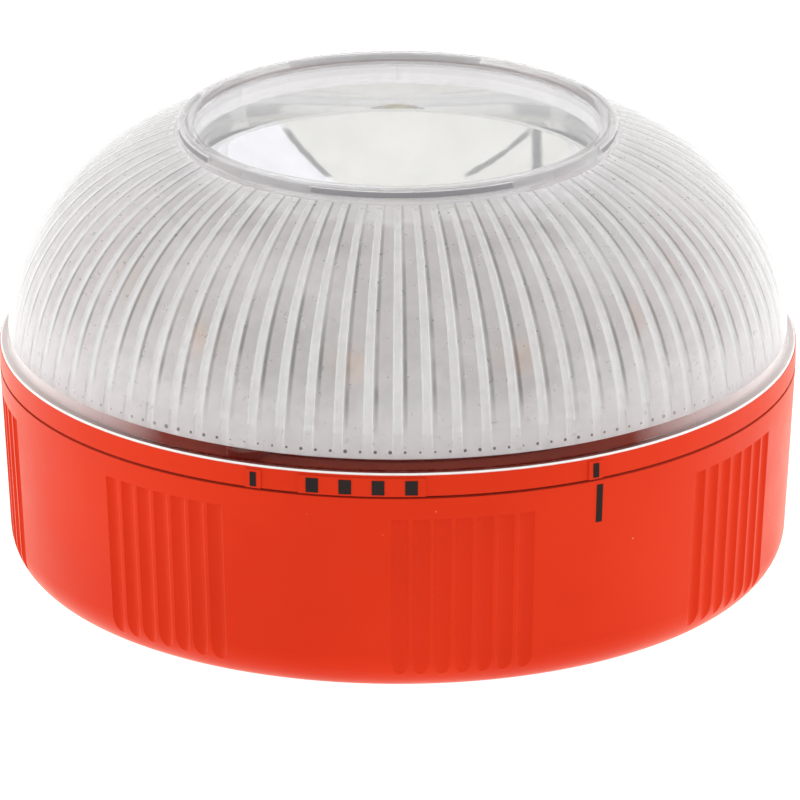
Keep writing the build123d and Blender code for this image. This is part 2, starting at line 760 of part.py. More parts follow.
capacitor_centre = (-15, 9)
capacitor_base = 0.8
with BuildPart() as capacitor:
    with BuildSketch(Plane.XY.offset(board_top)):
        with Locations(capacitor_centre):
            RectangleRounded(6.8, 6.8, 0.8)
    extrude(amount=capacitor_base)
    with BuildSketch(Plane.XY.offset(board_top + capacitor_base)):
        with Locations(capacitor_centre):
            Circle(3.15)
    extrude(amount=4.8)
    fillet(capacitor.faces().sort_by(Axis.Z)[-1].edges(), radius=0.4)
save(capacitor, "capacitor")

with BuildPart() as chip_resistors:
    with BuildSketch(Plane.XY.offset(board_top)):
        with Locations((14, 8)):
            with GridLocations(3.4, 2.6, 3, 3):
                Rectangle(2.0, 1.25)
    extrude(amount=0.55)
save(chip_resistors, "chip_resistors")

# Tact switch under the board, on the axis, so the button's rod reaches it at any twist.
switch_side = 6.2
switch_bottom = 25.0
stem_radius = 1.7
stem_bottom = 24.2
stem_top = 26.6
stem_clearance = 0.05
with BuildPart() as switch_body:
    with BuildSketch(Plane.XY.offset(switch_bottom)):
        RectangleRounded(switch_side, switch_side, 0.4)
    extrude(amount=board_bottom - switch_bottom)
    with BuildSketch(Plane.XY.offset(switch_bottom)):
        Circle(stem_radius + stem_clearance)
    extrude(amount=stem_top + press_travel + 0.2 - switch_bottom, mode=Mode.SUBTRACT)
save(switch_body, "switch_body")

with BuildPart() as switch_stem:
    with BuildSketch(Plane.XY.offset(stem_bottom)):
        Circle(stem_radius)
    extrude(amount=stem_top - stem_bottom)
    chamfer(switch_stem.faces().sort_by(Axis.Z)[0].edges(), length=0.2)
save(switch_stem, "switch_stem")

# ---------------------------------------------------------------- battery, its snaps and leads
battery_top = battery_bottom + battery_thickness
battery_mid_x = battery_near_x + battery_width / 2
battery_mid_z = battery_bottom + battery_thickness / 2
battery_back_y = battery_front_y + battery_length
snap_spacing = 12.95
snap_height = 2.3

with BuildPart() as battery:
    with BuildSketch(Plane.XZ.offset(-battery_front_y)):
        with Locations((battery_mid_x, battery_mid_z)):
            RectangleRounded(battery_width, battery_thickness, 2.0)
    extrude(amount=-battery_length)
    chamfer(battery.edges().group_by(Axis.Y)[0] + battery.edges().group_by(Axis.Y)[-1], length=0.4)
save(battery, "battery")

snap_plane = Plane(origin=(battery_mid_x, battery_back_y, battery_mid_z), x_dir=(1, 0, 0), z_dir=(0, 1, 0))
with BuildPart() as battery_snaps:
    with BuildSketch(snap_plane):
        with GridLocations(snap_spacing, 1, 2, 1):
            Circle(2.8)
    extrude(amount=snap_height)
    chamfer(battery_snaps.faces().sort_by(Axis.Y)[-2:].edges(), length=0.3)
save(battery_snaps, "battery_snaps")

connector_back_y = battery_back_y + 5.0
with BuildPart() as snap_connector:
    with BuildSketch(snap_plane.offset(0.5)):
        RectangleRounded(23.5, 11.5, 2.0)
    extrude(amount=4.5)
    fillet(snap_connector.faces().sort_by(Axis.Y)[-1].edges(), radius=0.8)
    with BuildSketch(snap_plane.offset(0.5)):
        with GridLocations(snap_spacing, 1, 2, 1):
            Circle(3.1)
    extrude(amount=2.2, mode=Mode.SUBTRACT)
save(snap_connector, "snap_connector")

# Each lead leaves the connector backwards, turns up and ends at the underside of the board.
lead_radius = 0.65
lead_bend = 2.5
for (lead_x, lead_y), lead_name in zip(lead_spots, ("battery_lead_red", "battery_lead_black")):
    with BuildPart() as lead:
        with BuildLine() as lead_route:
            FilletPolyline(
                (lead_x, connector_back_y, battery_mid_z), (lead_x, lead_y, battery_mid_z),
                (lead_x, lead_y, board_bottom), radius=lead_bend,
            )
        with BuildSketch(Plane(origin=lead_route.line @ 0, z_dir=lead_route.line % 0)):
            Circle(lead_radius)
        sweep()
    save(lead, lead_name)

# ---------------------------------------------------------------- battery cradle and pad
cradle_floor = 6.9
cradle_floor_top = 7.55
cradle_top = chassis_bottom - 0.05
cradle_left = 6.2
cradle_right = 33.8
cradle_front = -27.2
cradle_wall = 1.2
ear_bottom = cradle_top - 1.3
cradle_limit = 42.3      # keeps the cradle inside the collar's spigot
with BuildPart() as battery_cradle:
    with BuildSketch(Plane.XY.offset(cradle_floor)):
        with Locations(((cradle_left + cradle_right) / 2, (cradle_front + battery_back_y) / 2)):
            Rectangle(cradle_right - cradle_left, battery_back_y - cradle_front)
        # lightening window in the floor
        with Locations((battery_mid_x, -3)):
            RectangleRounded(16, 30, 3, mode=Mode.SUBTRACT)
    extrude(amount=cradle_floor_top - cradle_floor)
    # walls in front of the battery and on its right
    with BuildSketch(Plane.XY.offset(cradle_floor)):
        with Locations((19.5, cradle_front + cradle_wall / 2)):
            Rectangle(23, cradle_wall)
        with Locations((cradle_right - cradle_wall / 2, -2)):
            Rectangle(cradle_wall, 36)
    extrude(amount=cradle_top - cradle_floor)
    # ears that the two screws pull up against the chassis
    with BuildSketch(Plane.XY.offset(ear_bottom)):
        with Locations((35.4, 0)):
            Rectangle(4.4, 8)
        with Locations((19, -29.0)):
            Rectangle(8, 4.2)
    extrude(amount=cradle_top - ear_bottom)
    with BuildSketch(Plane.XY.offset(ear_bottom)):
        with Locations(*cradle_screw_spots):
            Circle(pilot_radius + 0.15)
    extrude(amount=cradle_top - ear_bottom, mode=Mode.SUBTRACT)
    with BuildSketch(Plane.XY.offset(cradle_floor)):
        Circle(cradle_limit)
    extrude(amount=cradle_top - cradle_floor, mode=Mode.INTERSECT)
save(battery_cradle, "battery_cradle")

screw_head = 1.1
cradle_screw_length = 4.4
with BuildPart() as cradle_screws:
    with BuildSketch(Plane.XY.offset(ear_bottom)):
        with Locations(*cradle_screw_spots):
            Circle(shank_radius)
    extrude(amount=cradle_screw_length)
    with BuildSketch(Plane.XY.offset(ear_bottom)):
        with Locations(*cradle_screw_spots):
            Circle(1.8)
    extrude(amount=-screw_head)
    fillet(cradle_screws.edges().filter_by(GeomType.CIRCLE).group_by(Axis.Z)[0], radius=0.4)
    with Locations(*[(x, y, ear_bottom - screw_head) for x, y in cradle_screw_spots]):
        Box(2.2, 0.45, screw_head, mode=Mode.SUBTRACT)
        Box(0.45, 2.2, screw_head, mode=Mode.SUBTRACT)
save(cradle_screws, "cradle_screws")

with BuildPart() as battery_pad:
    with BuildSketch(Plane.XY.offset(battery_top)):
        with Locations((battery_mid_x + 1, -4)):
            RectangleRounded(18, 32, 2)
    extrude(amount=chassis_bottom - battery_top)
save(battery_pad, "battery_pad")
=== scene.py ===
import json
import math

import bpy
from mathutils import Matrix, Vector


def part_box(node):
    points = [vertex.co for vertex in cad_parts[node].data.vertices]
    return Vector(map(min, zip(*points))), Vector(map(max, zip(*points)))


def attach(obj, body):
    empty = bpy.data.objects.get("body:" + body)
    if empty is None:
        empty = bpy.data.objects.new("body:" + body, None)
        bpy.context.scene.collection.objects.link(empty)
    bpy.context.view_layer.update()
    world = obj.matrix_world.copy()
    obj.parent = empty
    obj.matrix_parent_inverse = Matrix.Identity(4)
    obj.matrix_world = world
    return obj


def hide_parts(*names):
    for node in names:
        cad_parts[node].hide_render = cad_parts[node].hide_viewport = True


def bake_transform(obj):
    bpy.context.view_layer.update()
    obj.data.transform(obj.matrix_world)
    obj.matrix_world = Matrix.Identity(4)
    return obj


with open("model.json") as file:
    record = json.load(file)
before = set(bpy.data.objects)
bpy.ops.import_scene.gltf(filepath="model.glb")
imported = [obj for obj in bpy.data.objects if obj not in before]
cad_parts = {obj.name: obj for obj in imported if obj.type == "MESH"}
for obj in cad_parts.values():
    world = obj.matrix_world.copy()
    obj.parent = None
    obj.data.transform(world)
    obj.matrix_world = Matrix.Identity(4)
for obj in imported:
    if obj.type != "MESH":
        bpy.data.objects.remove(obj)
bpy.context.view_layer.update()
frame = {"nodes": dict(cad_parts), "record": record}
nodes = frame["nodes"]
MM = 0.001

# ------------------------------------------------------------------ shader helpers


def new_material(name):
    """Empty node material: returns the material, its tree and its output node."""
    material = bpy.data.materials.new(name)
    material.use_nodes = True
    tree = material.node_tree
    tree.nodes.clear()
    output = tree.nodes.new("ShaderNodeOutputMaterial")
    return material, tree, output


def principled(tree, output, **values):
    """Principled shader wired to the output, with its uniform values set on its own sockets."""
    shader = tree.nodes.new("ShaderNodeBsdfPrincipled")
    for name, value in values.items():
        shader.inputs[name.replace("_", " ")].default_value = value
    tree.links.new(shader.outputs["BSDF"], output.inputs["Surface"])
    return shader


def noise(tree, scale, detail=4.0):
    """Noise over object space, in cycles per metre."""
    place = tree.nodes.new("ShaderNodeTexCoord")
    texture = tree.nodes.new("ShaderNodeTexNoise")
    texture.inputs["Scale"].default_value = scale
    texture.inputs["Detail"].default_value = detail
    texture.inputs["Roughness"].default_value = 0.55
    tree.links.new(place.outputs["Object"], texture.inputs["Vector"])
    return texture.outputs["Fac"]


def spread(tree, factor, low, high, from_low=0.3, from_high=0.7):
    """Maps a noise value to a range."""
    ranger = tree.nodes.new("ShaderNodeMapRange")
    ranger.inputs["From Min"].default_value = from_low
    ranger.inputs["From Max"].default_value = from_high
    ranger.inputs["To Min"].default_value = low
    ranger.inputs["To Max"].default_value = high
    tree.links.new(factor, ranger.inputs["Value"])
    return ranger.outputs["Result"]


def two_tone(tree, factor, first, second):
    """Colour that drifts between two tones with a noise value."""
    ramp = tree.nodes.new("ShaderNodeValToRGB")
    ramp.color_ramp.elements[0].position = 0.35
    ramp.color_ramp.elements[0].color = (*first, 1)
    ramp.color_ramp.elements[1].position = 0.65
    ramp.color_ramp.elements[1].color = (*second, 1)
    tree.links.new(factor, ramp.inputs["Fac"])
    return ramp.outputs["Color"]


def bump(tree, shader, height, strength, distance):
    """Fine relief on a shader's normal; distance is in metres."""
    node = tree.nodes.new("ShaderNodeBump")
    node.inputs["Strength"].default_value = strength
    node.inputs["Distance"].default_value = distance
    tree.links.new(height, node.inputs["Height"])
    tree.links.new(node.outputs["Normal"], shader.inputs["Normal"])


def moulded(name, first, second, low_gloss, high_gloss, grain=0.00002, grain_scale=2600, **values):
    """Moulded plastic or rubber: slow colour drift, uneven gloss and a fine grain."""
    material, tree, output = new_material(name)
    shader = principled(tree, output, **values)
    colour = two_tone(tree, noise(tree, 45), first, second)
    tree.links.new(colour, shader.inputs["Base Color"])
    gloss = spread(tree, noise(tree, 160), low_gloss, high_gloss)
    tree.links.new(gloss, shader.inputs["Roughness"])
    bump(tree, shader, noise(tree, grain_scale, detail=2), 0.35, grain)
    return material


def shadow_clear(tree, output, surface, tint):
    """Lets shadow rays straight through a surface, tinted; other rays see the surface."""
    clear = tree.nodes.new("ShaderNodeBsdfTransparent")
    clear.inputs["Color"].default_value = (*tint, 1)
    path = tree.nodes.new("ShaderNodeLightPath")
    mix = tree.nodes.new("ShaderNodeMixShader")
    tree.links.new(path.outputs["Is Shadow Ray"], mix.inputs["Fac"])
    tree.links.new(surface, mix.inputs[1])
    tree.links.new(clear.outputs["BSDF"], mix.inputs[2])
    tree.links.new(mix.outputs["Shader"], output.inputs["Surface"])


def clear_plastic(name, low_gloss, high_gloss, tint=(1.0, 1.0, 1.0), ior=1.49, straight=0.0, clearness=1.0):
    """Clear plastic that refracts what is behind it; part of the light can go straight through."""
    material, tree, output = new_material(name)
    shader = principled(tree, output, Transmission_Weight=clearness, IOR=ior)
    shader.inputs["Base Color"].default_value = (*tint, 1)
    gloss = spread(tree, noise(tree, 400), low_gloss, high_gloss)
    tree.links.new(gloss, shader.inputs["Roughness"])
    surface = shader.outputs["BSDF"]
    if straight:
        through = tree.nodes.new("ShaderNodeBsdfTransparent")
        blend = tree.nodes.new("ShaderNodeMixShader")
        blend.inputs["Fac"].default_value = straight
        tree.links.new(surface, blend.inputs[1])
        tree.links.new(through.outputs["BSDF"], blend.inputs[2])
        surface = blend.outputs["Shader"]
    shadow_clear(tree, output, surface, tint)
    return material


def window_plastic():
    """Clear window: a polished pane with a paler, slightly hazy rim and skirt."""
    material, tree, output = new_material("window_plastic")
    pane = principled(tree, output, Transmission_Weight=1.0, IOR=1.49)
    pane.inputs["Base Color"].default_value = (0.99, 0.99, 1.0, 1)
    tree.links.new(spread(tree, noise(tree, 400), 0.0, 0.012), pane.inputs["Roughness"])
    rim = principled(tree, output, Transmission_Weight=0.70, IOR=1.3)
    rim.inputs["Base Color"].default_value = (0.985, 0.98, 0.99, 1)
    tree.links.new(spread(tree, noise(tree, 500), 0.05, 0.12), rim.inputs["Roughness"])
    through = tree.nodes.new("ShaderNodeBsdfTransparent")
    hazy = tree.nodes.new("ShaderNodeMixShader")
    hazy.inputs["Fac"].default_value = 0.4
    tree.links.new(rim.outputs["BSDF"], hazy.inputs[1])
    tree.links.new(through.outputs["BSDF"], hazy.inputs[2])
    radius, _ = axis_radius(tree)
    choose = tree.nodes.new("ShaderNodeMixShader")
    tree.links.new(spread(tree, radius, 0.0, 1.0, 0.02405, 0.02415), choose.inputs["Fac"])
    tree.links.new(pane.outputs["BSDF"], choose.inputs[1])
    tree.links.new(hazy.outputs["Shader"], choose.inputs[2])
    shadow_clear(tree, output, choose.outputs["Shader"], (0.99, 0.99, 1.0))
    return material


def metal(name, colour, low_gloss, high_gloss, grain=0.000004, grain_scale=1800):
    """Bare or plated metal with slightly uneven polish."""
    material, tree, output = new_material(name)
    shader = principled(tree, output, Metallic=1.0)
    tone = two_tone(tree, noise(tree, 220), colour, tuple(0.93 * channel for channel in colour))
    tree.links.new(tone, shader.inputs["Base Color"])
    gloss = spread(tree, noise(tree, 500), low_gloss, high_gloss)
    tree.links.new(gloss, shader.inputs["Roughness"])
    bump(tree, shader, noise(tree, grain_scale, detail=2), 0.3, grain)
    return material


def value_math(tree, operation, first, second=None):
    """Arithmetic on one or two values; each is a socket or a number."""
    node = tree.nodes.new("ShaderNodeMath")
    node.operation = operation
    for socket, value in zip(node.inputs, (first, second)):
        if isinstance(value, (int, float)):
            socket.default_value = value
        elif value is not None:
            tree.links.new(value, socket)
    return node.outputs["Value"]


def mixed(tree, factor, first, second):
    """Blend of two colours; each is a socket or a triple."""
    mix = tree.nodes.new("ShaderNodeMix")
    mix.data_type = "RGBA"
    tree.links.new(factor, mix.inputs["Factor"])
    for name, colour in (("A", first), ("B", second)):
        if isinstance(colour, tuple):
            mix.inputs[name].default_value = (*colour, 1)
        else:
            tree.links.new(colour, mix.inputs[name])
    return mix.outputs["Result"]


def axis_radius(tree):
    """Distance from the beacon's axis, in metres, and the object-space position split in three."""
    place = tree.nodes.new("ShaderNodeTexCoord")
    split = tree.nodes.new("ShaderNodeSeparateXYZ")
    tree.links.new(place.outputs["Object"], split.inputs["Vector"])
    across = value_math(tree, "MULTIPLY", split.outputs["X"], split.outputs["X"])
    along = value_math(tree, "MULTIPLY", split.outputs["Y"], split.outputs["Y"])
    return value_math(tree, "SQRT", value_math(tree, "ADD", across, along)), split


def orange_plastic():
    """Orange-red plastic of base, collar and chassis: a few pale specks, and painted shade inside the shell.
    """
    material, tree, output = new_material("orange_plastic")
    shader = principled(tree, output, Specular_IOR_Level=0.10, Sheen_Weight=0.34, Sheen_Roughness=0.35)
    shader.inputs["Sheen Tint"].default_value = (1.0, 0.72, 0.48, 1)
    body = two_tone(tree, noise(tree, 38), (0.640, 0.025, 0.0018), (0.690, 0.031, 0.0030))
    place = tree.nodes.new("ShaderNodeTexCoord")
    cells = tree.nodes.new("ShaderNodeTexVoronoi")
    cells.inputs["Scale"].default_value = 170
    tree.links.new(place.outputs["Object"], cells.inputs["Vector"])
    speck = spread(tree, cells.outputs["Distance"], 0.6, 0.0, 0.010, 0.026)
    speckled = mixed(tree, speck, body, (0.80, 0.30, 0.18))
    radius, split = axis_radius(tree)
    # painted shade: the colour darkens inside the shell above its floor, deepest near the middle and fading
    # sideways
    shade_height_mask = spread(tree, split.outputs["Z"], 0.0, 1.0, 0.0255, 0.0257)
    inside = value_math(tree, "MULTIPLY", spread(tree, radius, 0.72, 0.0, 0.0456, 0.0459), shade_height_mask)
    shade_towards_middle = spread(tree, value_math(tree, "ABSOLUTE", split.outputs["X"]), 1.0, 0.25, 0.018, 0.042)
    inside = value_math(tree, "MULTIPLY", inside, shade_towards_middle)
    shaded = mixed(tree, inside, speckled, (0.120, 0.006, 0.002))
    tree.links.new(shaded, shader.inputs["Base Color"])
    gloss = spread(tree, noise(tree, 120), 0.34, 0.46)
    tree.links.new(gloss, shader.inputs["Roughness"])
    bump(tree, shader, noise(tree, 2200, detail=3), 0.35, 0.00003)
    return material


# the dome's ribs and the shade painted beside them and at their ends: shares of a rib pitch, heights and
# sizes in metres
rib_count = 82
rib_shade_place = 0.73
shade_dot_height = 0.02995
shade_dot_reach = (0.00008, 0.00026)
half_pitch = 0.0017
fade_heights = (0.0315, 0.0365)
shade_dot_sides = (0.020, 0.040)


def painted_rib_shade(tree, split, depth):
    """Painted shade: an uneven dark line beside each rib, fading towards the foot, and dark dots of painted
    shade at the ribs' lower ends.

    The value is 1 on plain plastic and falls towards 0 where it is darkest.
    """
    turn = value_math(tree, "ARCTAN2", split.outputs["X"], split.outputs["Y"])
    per_turn = rib_count / (2 * math.pi)
    # the added whole number keeps the count positive all the way round
    pitches = value_math(tree, "ADD", value_math(tree, "MULTIPLY", turn, per_turn), 1000.0)
    share = value_math(tree, "FRACT", pitches)
    away = value_math(tree, "ABSOLUTE", value_math(tree, "SUBTRACT", share, rib_shade_place))
    # painted shade: a dark line at one side of each rib
    line = spread(tree, away, 1.0, 0.0, 0.03, 0.10)
    place = tree.nodes.new("ShaderNodeCombineXYZ")
    tree.links.new(value_math(tree, "MULTIPLY", pitches, 0.45), place.inputs["X"])
    tree.links.new(value_math(tree, "MULTIPLY", split.outputs["Z"], 160.0), place.inputs["Y"])
    patchy = tree.nodes.new("ShaderNodeTexNoise")
    patchy.inputs["Scale"].default_value = 1.0
    tree.links.new(place.outputs["Vector"], patchy.inputs["Vector"])
    amount = spread(tree, patchy.outputs["Fac"], 0.35, 1.0, 0.38, 0.60)
    height = spread(tree, split.outputs["Z"], 0.0, 1.0, *fade_heights)
    dark = value_math(tree, "MULTIPLY", value_math(tree, "MULTIPLY", line, amount), height)
    shade = spread(tree, dark, 1.0, 1.0 - depth, 0.0, 1.0)
    patches = value_math(tree, "MULTIPLY", height, patchy.outputs["Fac"])
    band = spread(tree, patches, 1.0, 0.86, 0.25, 0.65)
    # painted shade: dark dots at the ribs' lower ends, fainter towards the sides
    halves = value_math(tree, "FRACT", value_math(tree, "MULTIPLY", pitches, 2.0))
    across = value_math(tree, "MULTIPLY", value_math(tree, "SUBTRACT", halves, 0.5), half_pitch)
    above = value_math(tree, "SUBTRACT", split.outputs["Z"], shade_dot_height)
    squared = value_math(tree, "ADD", value_math(tree, "MULTIPLY", across, across),
                         value_math(tree, "MULTIPLY", above, above))
    reach = spread(tree, noise(tree, 260), *shade_dot_reach)
    shade_dot = value_math(tree, "GREATER_THAN", value_math(tree, "SQRT", squared), reach)
    faint = spread(tree, value_math(tree, "ABSOLUTE", split.outputs["X"]), 0.12, 0.85, *shade_dot_sides)
    return value_math(tree, "MULTIPLY", value_math(tree, "MULTIPLY", shade, band),
                      value_math(tree, "MAXIMUM", shade_dot, faint))


def frosted_plastic(name, tint, low_clear, high_clear, low_gloss, high_gloss, grain, grain_scale, rib_shade=0.0):
    """Textured face of clear plastic, part clear and part white, whiter towards its foot."""
    material, tree, output = new_material(name)
    shader = principled(tree, output, IOR=1.49, Specular_IOR_Level=0.3)
    _, split = axis_radius(tree)
    clearness = spread(tree, split.outputs["Z"], low_clear, high_clear, 0.030, 0.046)
    tree.links.new(clearness, shader.inputs["Transmission Weight"])
    tone = two_tone(tree, noise(tree, 700), tint, tuple(0.93 * channel for channel in tint))
    # painted shade beside the ribs and at their ends, on the faces that ask for it
    if rib_shade:
        tone = mixed(tree, painted_rib_shade(tree, split, rib_shade), (0.02, 0.02, 0.02), tone)
    tree.links.new(tone, shader.inputs["Base Color"])
    gloss = spread(tree, noise(tree, 900), low_gloss, high_gloss)
    tree.links.new(gloss, shader.inputs["Roughness"])
    bump(tree, shader, noise(tree, grain_scale, detail=3), 0.6, grain)
    shadow_clear(tree, output, shader.outputs["BSDF"], (0.96, 0.96, 0.96))
    return material


def skirt_plastic():
    """Clear foot of the dome: the collar shows through it in front, and towards the sides it turns white, a
    painted reflection of the pale surroundings.
    """
    material, tree, output = new_material("dome_foot")
    shader = principled(tree, output, IOR=1.22)
    _, split = axis_radius(tree)
    # painted reflection: less clear and whiter towards the sides
    aside = value_math(tree, "ABSOLUTE", split.outputs["X"])
    tree.links.new(spread(tree, aside, 1.0, 0.35, 0.027, 0.046), shader.inputs["Transmission Weight"])
    tone = two_tone(tree, noise(tree, 260), (1.0, 0.95, 0.94), (0.98, 0.90, 0.90))
    tree.links.new(tone, shader.inputs["Base Color"])
    tree.links.new(spread(tree, noise(tree, 400), 0.03, 0.06), shader.inputs["Roughness"])
    shadow_clear(tree, output, shader.outputs["BSDF"], (1.0, 0.97, 0.96))
    return material


# ------------------------------------------------------------------ materials by record slot

finishes = {
    "orange_plastic": orange_plastic(),
    "black_print": moulded("black_print", (0.012, 0.008, 0.008), (0.020, 0.012, 0.010), 0.5, 0.65,
                           Specular_IOR_Level=0.15),
    "clear_plastic": window_plastic(),
    "dark_rubber": moulded("dark_rubber", (0.020, 0.020, 0.022), (0.035, 0.035, 0.037), 0.65, 0.85, 0.00006),
    "grey_rubber": moulded("grey_rubber", (0.27, 0.26, 0.28), (0.33, 0.32, 0.34), 0.45, 0.6),
    "ferrite": moulded("ferrite", (0.035, 0.036, 0.040), (0.055, 0.055, 0.060), 0.45, 0.65, 0.00004),
    "white_plastic": moulded("white_plastic", (0.80, 0.80, 0.79), (0.86, 0.86, 0.85), 0.35, 0.5),
    "chrome_coating": metal("chrome_coating", (0.83, 0.825, 0.815), 0.015, 0.04),
    "circuit_board": moulded("circuit_board", (0.74, 0.75, 0.74), (0.82, 0.83, 0.82), 0.25, 0.4),
    "amber_light": moulded("amber_light", (0.90, 0.30, 0.02), (1.0, 0.42, 0.04), 0.15, 0.3),
    "torch_emitter": moulded("torch_emitter", (0.85, 0.70, 0.12), (0.92, 0.80, 0.20), 0.1, 0.25),
    "aluminium": metal("aluminium", (0.80, 0.80, 0.82), 0.25, 0.4),
    "steel": metal("steel", (0.62, 0.62, 0.64), 0.2, 0.35),
    "tinned_copper": metal("tinned_copper", (0.75, 0.66, 0.52), 0.25, 0.4),
    "chip_black": moulded("chip_black", (0.018, 0.018, 0.020), (0.030, 0.030, 0.032), 0.5, 0.7),
    "ferrite_core": moulded("ferrite_core", (0.06, 0.06, 0.065), (0.09, 0.09, 0.095), 0.5, 0.7),
    "battery_case": moulded("battery_case", (0.05, 0.06, 0.09), (0.07, 0.08, 0.12), 0.25, 0.4),
    "red_wire": moulded("red_wire", (0.50, 0.012, 0.010), (0.60, 0.020, 0.014), 0.3, 0.45),
    "black_wire": moulded("black_wire", (0.012, 0.012, 0.013), (0.022, 0.022, 0.023), 0.3, 0.45),
    "foam": moulded("foam", (0.10, 0.10, 0.11), (0.15, 0.15, 0.16), 0.8, 0.95, 0.0002, 1200),
    "button_rubber": moulded("button_rubber", (0.020, 0.020, 0.022), (0.032, 0.032, 0.034), 0.35, 0.5),
}
dome_finishes = [
    clear_plastic("dome_outside", 0.05, 0.12, (0.985, 0.985, 0.99)),
    # the inner face carries painted shade beside its ribs and at their ends
    frosted_plastic("dome_inside", (0.985, 0.965, 0.97), 0.12, 0.52, 0.26, 0.38, 0.00003, 1500, 0.60),
    frosted_plastic("dome_ribs", (1.0, 1.0, 1.0), 0.05, 0.12, 0.35, 0.5, 0.00006, 2500),
    frosted_plastic("dome_ledge", (1.0, 1.0, 1.0), 0.05, 0.05, 0.3, 0.4, 0.00003, 2500),
    skirt_plastic(),
    clear_plastic("dome_ring", 0.06, 0.12, (0.985, 0.98, 0.99), 1.3, 0.4, 0.68),
]
OUTSIDE, INSIDE, RIB, LEDGE, FOOT, RING = range(6)

slot_of = {entry["node"]: entry["material_slot"] for entry in frame["record"]["subparts"]}
for name, node in nodes.items():
    node.data.materials.clear()
    node.data.materials.append(finishes[slot_of[name]])

# ------------------------------------------------------------------ clear ribbed dome


def curve_points(start, first, second, end, count):
    """Points along a cubic Bezier curve, ends included."""
    found = []
    for index in range(count + 1):
        t = index / count
        u = 1 - t
        shares = (u ** 3, 3 * u * u * t, 3 * u * t * t, t ** 3)
        points = (start, first, second, end)
        found.append(tuple(
            sum(share * point[axis] for share, point in zip(shares, points)) for axis in (0, 1)
        ))
    return found


dome_low, dome_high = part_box("dome_lens")
dome_top = dome_high.z / MM
seat = 28.05                 # face that rests on the collar, mm
foot = 28.28                 # top of the thin white edge
rib_start = 29.2
rib_stop = 52.7
rib_height = 0.60
rib_white = 32.2             # the ribs' faces are whiter than the wall above this height
band_top = 29.6              # the outside is quite clear below this height
# positions across one pitch, as shares of it, and how far the rib stands proud at each
rib_profile = [
    (-0.32, 0), (-0.170, 0), (-0.125, 0.90), (-0.065, 0.98), (0.0, 1.0),
    (0.065, 0.98), (0.125, 0.90), (0.170, 0), (0.32, 0), (0.50, 0),
]
slot_low, slot_high = 54.2, 54.9
slot_floor = 25.65
slot_half = 27.0
first_slot = 4.0


def in_slot(turn):
    """True where the ring round the window is slotted."""
    bearing = math.degrees(turn) - first_slot
    away = abs((bearing + 45) % 90 - 45)
    return away < slot_half


def dome_rows():
    """Section of the dome: radius, height, ribbed or not, slotted or not, and its finish."""
    rows = [(47.4, seat, 0, False, LEDGE), (47.4, foot - 0.08, 0, False, LEDGE)]
    rows += [(47.34, foot, 0, False, LEDGE), (47.2, foot, 0, False, FOOT), (46.62, foot, 0, False, FOOT)]
    shell = curve_points((46.5, foot + 0.1), (46.5, 32.8), (45.2, 48.1), (26.74, 54.06), 80)
    rows += [(r, z, 0, False, FOOT if z < band_top else OUTSIDE) for r, z in shell]
    rows += [(26.32, 54.12, 0, False, RING), (26.24, slot_low - 0.02, 0, False, RING)]
    rows += [(26.22, slot_low, 0, True, RING), (26.07, slot_high, 0, True, RING)]
    rows += [(26.05, slot_high + 0.02, 0, False, RING), (26.0, 55.0, 0, False, RING)]
    rows += [(25.9, 55.13, 0, False, RING), (25.75, dome_top, 0, False, RING)]
    rows += [(25.25, dome_top, 0, False, RING), (25.15, dome_top - 0.1, 0, False, RING)]
    rows += [(25.15, 50.55, 0, False, RING), (26.05, 50.55, 0, False, RING), (26.15, 50.65, 0, False, RING)]
    last = 0
    for r, z in curve_points((26.25, 52.85), (43.2, 46.6), (44.5, 32.4), (44.5, seat), 90):
        shows = 1 if rib_start <= z <= rib_stop else 0
        if shows != last:
            rows.append((r, z + 0.02 * last, last, False, INSIDE))
        rows.append((r, z, shows, False, INSIDE if z >= rib_start else FOOT))
        last = shows
    rows += [(44.5, 27.35, 0, False, FOOT), (44.55, 27.3, 0, False, FOOT)]
    rows += [(45.45, 27.3, 0, False, FOOT), (45.5, 27.35, 0, False, FOOT)]
    rows += [(45.5, seat, 0, False, FOOT)]
    return rows


def build_dome():
    """Dome with its foot ledge, the ring round the window and the ribs inside."""
    rows = dome_rows()
    corners = []
    for rib in range(rib_count):
        for share, proud in rib_profile:
            turn = 2 * math.pi * (rib + share) / rib_count
            slotted = in_slot(turn)
            for radius, height, shows, is_slot, _ in rows:
                reach = slot_floor if (is_slot and slotted) else radius
                # ribs stand square to the wall, so they lean inwards and down near the crown
                lean = min(1.0, max(0.0, (height - 30) / 24))
                grown = min(1.0, max(0.15, (height - rib_start) / 3.5))
                rise = shows * proud * rib_height * grown
                reach -= rise * (1 - 0.65 * lean ** 3)
                drop = rise * 0.75 * lean ** 2
                corners.append((
                    reach * math.sin(turn) * MM,
                    -reach * math.cos(turn) * MM,
                    (height - drop) * MM,
                ))
    count = len(rows)
    steps = len(rib_profile)
    around = rib_count * steps
    faces = []
    finish_of = []
    for step in range(around):
        here, there = step * count, (step + 1) % around * count
        raised = rib_profile[(step + 1) % steps][1] + rib_profile[step % steps][1] > 0.5
        for row in range(count):
            after = (row + 1) % count
            faces.append((here + row, there + row, there + after, here + after))
            finish = rows[row][4]
            white = finish == INSIDE and raised and rows[row][1] > rib_white
            finish_of.append(RIB if white else finish)
    mesh = bpy.data.meshes.new("ribbed_dome")
    mesh.from_pydata(corners, [], faces)
    for finish in dome_finishes:
        mesh.materials.append(finish)
    for face, finish in zip(mesh.polygons, finish_of):
        face.material_index = finish
    mesh.validate()
    mesh.shade_smooth()
    mesh.set_sharp_from_angle(angle=math.radians(38))
    dome = bpy.data.objects.new("ribbed_dome", mesh)
    bpy.context.scene.collection.objects.link(dome)
    return dome


dome = build_dome()
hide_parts("dome_lens")
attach(dome, "top")

# ------------------------------------------------------------------ spring over the power button

spring_wire = 0.3 * MM       # radius of the wire
spring_turns = 2.5
spring_sides = 12
spring_steps = 120


